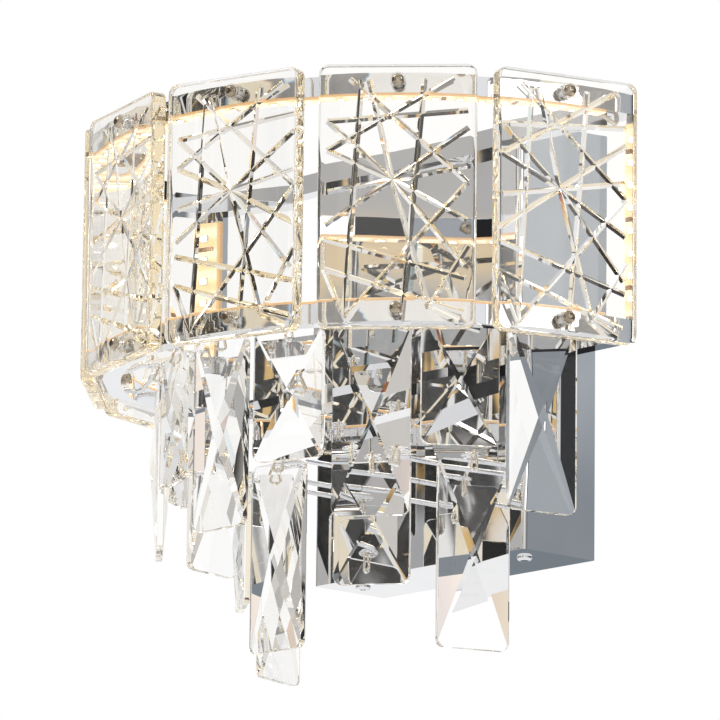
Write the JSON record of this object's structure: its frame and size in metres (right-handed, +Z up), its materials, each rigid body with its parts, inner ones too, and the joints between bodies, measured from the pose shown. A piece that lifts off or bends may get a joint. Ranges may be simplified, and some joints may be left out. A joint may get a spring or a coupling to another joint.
{
  "type": "crystal wall sconce",
  "caption": "Wall sconce with a half-round screen of moulded glass plates on two chrome frames, LED strips behind them, a chrome wall box and two rows of swinging crystal bars.",
  "frame": {"origin": "on the wall plane, behind the middle of the wall box, at the centre of the four wall screws", "axes": "+X along the wall to the right as seen from the room, +Y into the wall, +Z up"},
  "size_m": [0.3082, 0.2024, 0.2481],
  "materials": {
    "chrome": "polished mirror chrome",
    "zinc_steel": "zinc-plated sheet steel",
    "plated_steel": "nickel-plated fastener",
    "plate_glass": "clear moulded glass with a faint ivory edge",
    "crystal_glass": "clear cut crystal",
    "light_strip": "warm white LED strip under a clear coat",
    "clear_washer": "clear soft washer",
    "driver_white": "moulded white casing",
    "terminal_plastic": "moulded terminal block",
    "lead_sleeve": "lead insulation",
    "grommet_rubber": "soft black rubber"
  },
  "bodies": {
    "root": {"wall_box": "chrome", "wall_bracket": "zinc_steel", "box_screws": "plated_steel", "earth_screw": "plated_steel", "terminal_block": "terminal_plastic", "terminal_screw": "plated_steel", "led_driver": "driver_white", "driver_screws": "plated_steel", "supply_leads": "lead_sleeve", "strip_lead": "lead_sleeve", "lead_grommet": "grommet_rubber", "top_frame": "chrome", "bottom_frame": "chrome", "end_posts": "chrome", "frame_screws": "plated_steel", "led_strip_top": "light_strip", "led_strip_bottom": "light_strip", "led_strips_side": "light_strip", "plate_screws": "plated_steel", "plate_washers": "clear_washer", "plate_nuts": "plated_steel", "ring_hangers": "chrome", "box_hangers": "chrome", "hanger_nuts": "plated_steel", "glass_plate_1": "plate_glass", "glass_plate_2": "plate_glass", "glass_plate_3": "plate_glass", "glass_plate_4": "plate_glass", "glass_plate_5": "plate_glass", "glass_plate_6": "plate_glass"},
    "outer_pendant_1": {"outer_crystal_1": "crystal_glass", "outer_link_1": "chrome"},
    "outer_pendant_2": {"outer_crystal_2": "crystal_glass", "outer_link_2": "chrome"},
    "outer_pendant_3": {"outer_crystal_3": "crystal_glass", "outer_link_3": "chrome"},
    "outer_pendant_4": {"outer_crystal_4": "crystal_glass", "outer_link_4": "chrome"},
    "outer_pendant_5": {"outer_crystal_5": "crystal_glass", "outer_link_5": "chrome"},
    "outer_pendant_6": {"outer_crystal_6": "crystal_glass", "outer_link_6": "chrome"},
    "outer_pendant_7": {"outer_crystal_7": "crystal_glass", "outer_link_7": "chrome"},
    "outer_pendant_8": {"outer_crystal_8": "crystal_glass", "outer_link_8": "chrome"},
    "outer_pendant_9": {"outer_crystal_9": "crystal_glass", "outer_link_9": "chrome"},
    "inner_pendant_1": {"inner_crystal_1": "crystal_glass", "inner_link_1": "chrome"},
    "inner_pendant_2": {"inner_crystal_2": "crystal_glass", "inner_link_2": "chrome"},
    "inner_pendant_3": {"inner_crystal_3": "crystal_glass", "inner_link_3": "chrome"},
    "inner_pendant_4": {"inner_crystal_4": "crystal_glass", "inner_link_4": "chrome"},
    "inner_pendant_5": {"inner_crystal_5": "crystal_glass", "inner_link_5": "chrome"}
  },
  "joints": [
    {"name": "outer_swing_1", "type": "hinge", "parent": "root", "child": "outer_pendant_1", "pos_m": [-0.11249, -0.07216, -0.0025], "axis": [0.2079, -0.9781, 0], "range_deg": [-25, 7]},
    {"name": "outer_swing_2", "type": "hinge", "parent": "root", "child": "outer_pendant_2", "pos_m": [-0.09805, -0.10834, -0.0025], "axis": [0.5225, -0.8526, 0], "range_deg": [-25, 7]},
    {"name": "outer_swing_3", "type": "hinge", "parent": "root", "child": "outer_pendant_3", "pos_m": [-0.07237, -0.13762, -0.0075], "axis": [0.7771, -0.6293, 0], "range_deg": [-25, 7]},
    {"name": "outer_swing_4", "type": "hinge", "parent": "root", "child": "outer_pendant_4", "pos_m": [-0.03839, -0.15665, -0.0075], "axis": [0.9426, -0.3338, 0], "range_deg": [-25, 7]},
    {"name": "outer_swing_5", "type": "hinge", "parent": "root", "child": "outer_pendant_5", "pos_m": [0, -0.16325, -0.0075], "axis": [1, 0, 0], "range_deg": [-25, 7]},
    {"name": "outer_swing_6", "type": "hinge", "parent": "root", "child": "outer_pendant_6", "pos_m": [0.03839, -0.15665, -0.0075], "axis": [0.9426, 0.3338, 0], "range_deg": [-25, 7]},
    {"name": "outer_swing_7", "type": "hinge", "parent": "root", "child": "outer_pendant_7", "pos_m": [0.07237, -0.13762, -0.0075], "axis": [0.7771, 0.6293, 0], "range_deg": [-25, 7]},
    {"name": "outer_swing_8", "type": "hinge", "parent": "root", "child": "outer_pendant_8", "pos_m": [0.09805, -0.10834, -0.0025], "axis": [0.5225, 0.8526, 0], "range_deg": [-25, 7]},
    {"name": "outer_swing_9", "type": "hinge", "parent": "root", "child": "outer_pendant_9", "pos_m": [0.11249, -0.07216, -0.0025], "axis": [0.2079, 0.9781, 0], "range_deg": [-25, 7]},
    {"name": "inner_swing_1", "type": "hinge", "parent": "root", "child": "inner_pendant_1", "pos_m": [-0.06604, -0.07022, -0.0585], "axis": [0.3156, -0.9489, 0], "range_deg": [-15, 8]},
    {"name": "inner_swing_2", "type": "hinge", "parent": "root", "child": "inner_pendant_2", "pos_m": [-0.04394, -0.11124, -0.0585], "axis": [0.8202, -0.5721, 0], "range_deg": [-15, 8]},
    {"name": "inner_swing_3", "type": "hinge", "parent": "root", "child": "inner_pendant_3", "pos_m": [0, -0.12825, -0.0585], "axis": [1, 0, 0], "range_deg": [-15, 8]},
    {"name": "inner_swing_4", "type": "hinge", "parent": "root", "child": "inner_pendant_4", "pos_m": [0.04394, -0.11124, -0.0585], "axis": [0.8202, 0.5721, 0], "range_deg": [-15, 8]},
    {"name": "inner_swing_5", "type": "hinge", "parent": "root", "child": "inner_pendant_5", "pos_m": [0.06604, -0.07022, -0.0585], "axis": [0.3156, 0.9489, 0], "range_deg": [-15, 8]}
  ]
}
